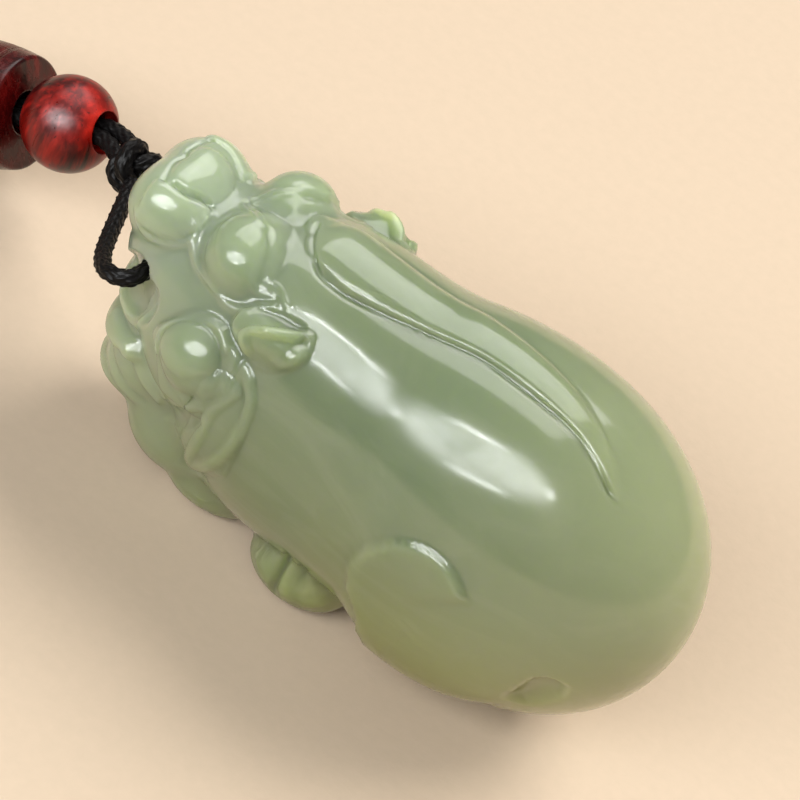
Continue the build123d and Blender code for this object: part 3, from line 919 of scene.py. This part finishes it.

# %% [markdown]
# Nephrite is a felt of fine crystals. Light goes a few millimetres into it and comes out again softly, so
# the stone seems to glow at its thin edges, and its polished skin still mirrors the lamps sharply. Inside
# lie faint clouds. The head and the rump are painted paler than the middle, a painted glow, and the low
# part is painted more yellow, a painted warm bounce of light from the ground.

# %% Jade
stone = Shader("pale_green_nephrite")
clouds = stone.noise(stone.stretched((1, 1, 1)), 70, detail=4, distortion=0.8)
wisps = stone.noise(stone.stretched((0.5, 1, 1.4), (0.2, 0.4, 0.1)), 190, detail=5, distortion=1.4)
skin = stone.noise(stone.stretched((1, 1, 1)), 420, detail=3)
deep_green, light_green = (0.150, 0.205, 0.120, 1), (0.185, 0.225, 0.125, 1)
pale_wisp, painted_sheen_head = (0.25, 0.29, 0.19, 1), (0.34, 0.405, 0.295, 1)
painted_glow_rump, painted_bounce_yellow = (0.30, 0.315, 0.175, 1), (0.220, 0.208, 0.034, 1)
body = stone.mix(clouds, deep_green, light_green)
body = stone.mix(stone.span(wisps, 0.45, 0.75, 0.0, 0.35), body, pale_wisp)
axes = stone.add("ShaderNodeSeparateXYZ", Vector=stone.place).outputs
# Painted glow: the head is painted paler, standing in for the milky sheen of light over it.
body = stone.mix(stone.span(axes["X"], -0.024, -0.008, 0.70, 0.0), body, painted_sheen_head)
# Painted glow: the rump is painted paler, standing in for the light that comes through its thin edge.
body = stone.mix(stone.span(axes["X"], 0.004, 0.024, 0.0, 0.60), body, painted_glow_rump)
# Painted bounce light: the low part of the body is painted more yellow, less so towards the head, for warm
# light thrown up from the ground.
foot = stone.mix(stone.span(axes["X"], -0.003, 0.007, 0.70, 0.0), painted_bounce_yellow, body)
body = stone.mix(stone.span(axes["Z"], 0.0, 0.021, 0.90, 0.0), body, foot)
stone.finish(
    Base_Color=body,
    Roughness=stone.span(skin, 0.3, 0.7, 0.10, 0.15),
    IOR=1.61,
    Subsurface_Weight=1.0,
    Subsurface_Radius=(0.9, 1.0, 0.55),
    Subsurface_Scale=0.0065,
    Normal=stone.bump(skin, 0.10, 0.0001),
)
dress(jade, stone)

# %% [markdown]
# ## The ground
# The pendant lies on a plain pale surface. It is a stage, not a part of the object.

# %% The ground
ground_half = 2500.0
ends = np.array([-ground_half, ground_half])
flat = np.stack([*np.meshgrid(ends, ends, indexing="ij"), np.zeros((2, 2))], axis=-1)
ground = grid_mesh("ground", flat, closed=False)
paper = Shader("warm_pale_ground")
fibre = paper.noise(paper.stretched((1, 1, 1)), 900, detail=5)
paper.finish(
    Base_Color=paper.mix(fibre, (0.505, 0.405, 0.300, 1), (0.555, 0.440, 0.328, 1)),
    Roughness=0.9,
    Specular_IOR_Level=0.2,
    Normal=paper.bump(fibre, 0.25, 0.0001),
)
ground.data.materials.append(paper.material)

# %% [markdown]
# ## The light
# Polished stone is lit twice: light goes into it and makes it glow, and its skin mirrors each lamp as a
# bright patch. Here a lamp may do only one of the two. The lamps that shape the patches stand where the
# skin mirrors them towards the camera, and a key lamp behind the stone throws its soft shadow forward
# without a patch of its own.

# %% Soft lamps


def softbox(name, place, aim, width, height, watts, colour, turn=0.0, mirrored=True, lights=True,
            shape="RECTANGLE"):
    """A flat light at a place in millimetres, turned towards a point. Skins may mirror it, and it may
    light the things round it."""
    light = bpy.data.lights.new(name, "AREA")
    light.shape = shape
    light.size, light.size_y = width * MM, height * MM
    light.energy = watts
    light.color = colour
    holder = bpy.data.objects.new(name, light)
    back = np.array(place, float) - np.array(aim, float)
    back /= np.linalg.norm(back)
    side = np.cross([0.0, 0.0, 1.0], back)
    side /= np.linalg.norm(side)
    up = np.cross(back, side)
    c, s = math.cos(math.radians(turn)), math.sin(math.radians(turn))
    right, above = side * c + up * s, up * c - side * s
    turned_box = Matrix([[right[i], above[i], back[i]] for i in range(3)]).to_4x4()
    turned_box.translation = np.array(place, float) * MM
    holder.matrix_world = turned_box
    holder.visible_glossy = mirrored
    holder.visible_diffuse = lights
    bpy.context.scene.collection.objects.link(holder)


# %% The studio
over_horn, over_aim = (-325, 618, 985), (-25, 568, 35)
by_flank, flank_aim, flank_turn = (-253, -795, 755), (-20, -33, -17), 30
middle_of_stone = (0, 0, 10)
neutral, cool, sunny, warm = (1.0, 0.99, 0.97), (0.97, 0.99, 1.0), (1.0, 0.98, 0.95), (1.0, 0.92, 0.78)
softbox("top_box", over_horn, over_aim, 1300, 1000, 13.0, neutral, lights=False)
softbox("top_glow", over_horn, over_aim, 400, 330, 5.0, neutral, lights=False, shape="ELLIPSE")
softbox("flank_box", by_flank, flank_aim, 1140, 480, 13.0, cool, flank_turn, mirrored=False)
softbox("flank_glow", by_flank, flank_aim, 1200, 530, 48.0, cool, flank_turn, lights=False, shape="ELLIPSE")
softbox("key_box", (330, 520, 950), middle_of_stone, 650, 650, 15.0, sunny, mirrored=False)
softbox("back_box", (750, 950, 160), middle_of_stone, 1600, 300, 6.0, warm, mirrored=False)

# %% The room
sky = bpy.data.worlds.new("soft_room")
sky.use_nodes = True
air = sky.node_tree.nodes["Background"].inputs
air["Color"].default_value = (1.0, 0.93, 0.84, 1)
air["Strength"].default_value = 0.25
bpy.context.scene.world = sky
bpy.context.scene.view_settings.view_transform = "Standard"
print("lamps", [light.name for light in bpy.data.lights])
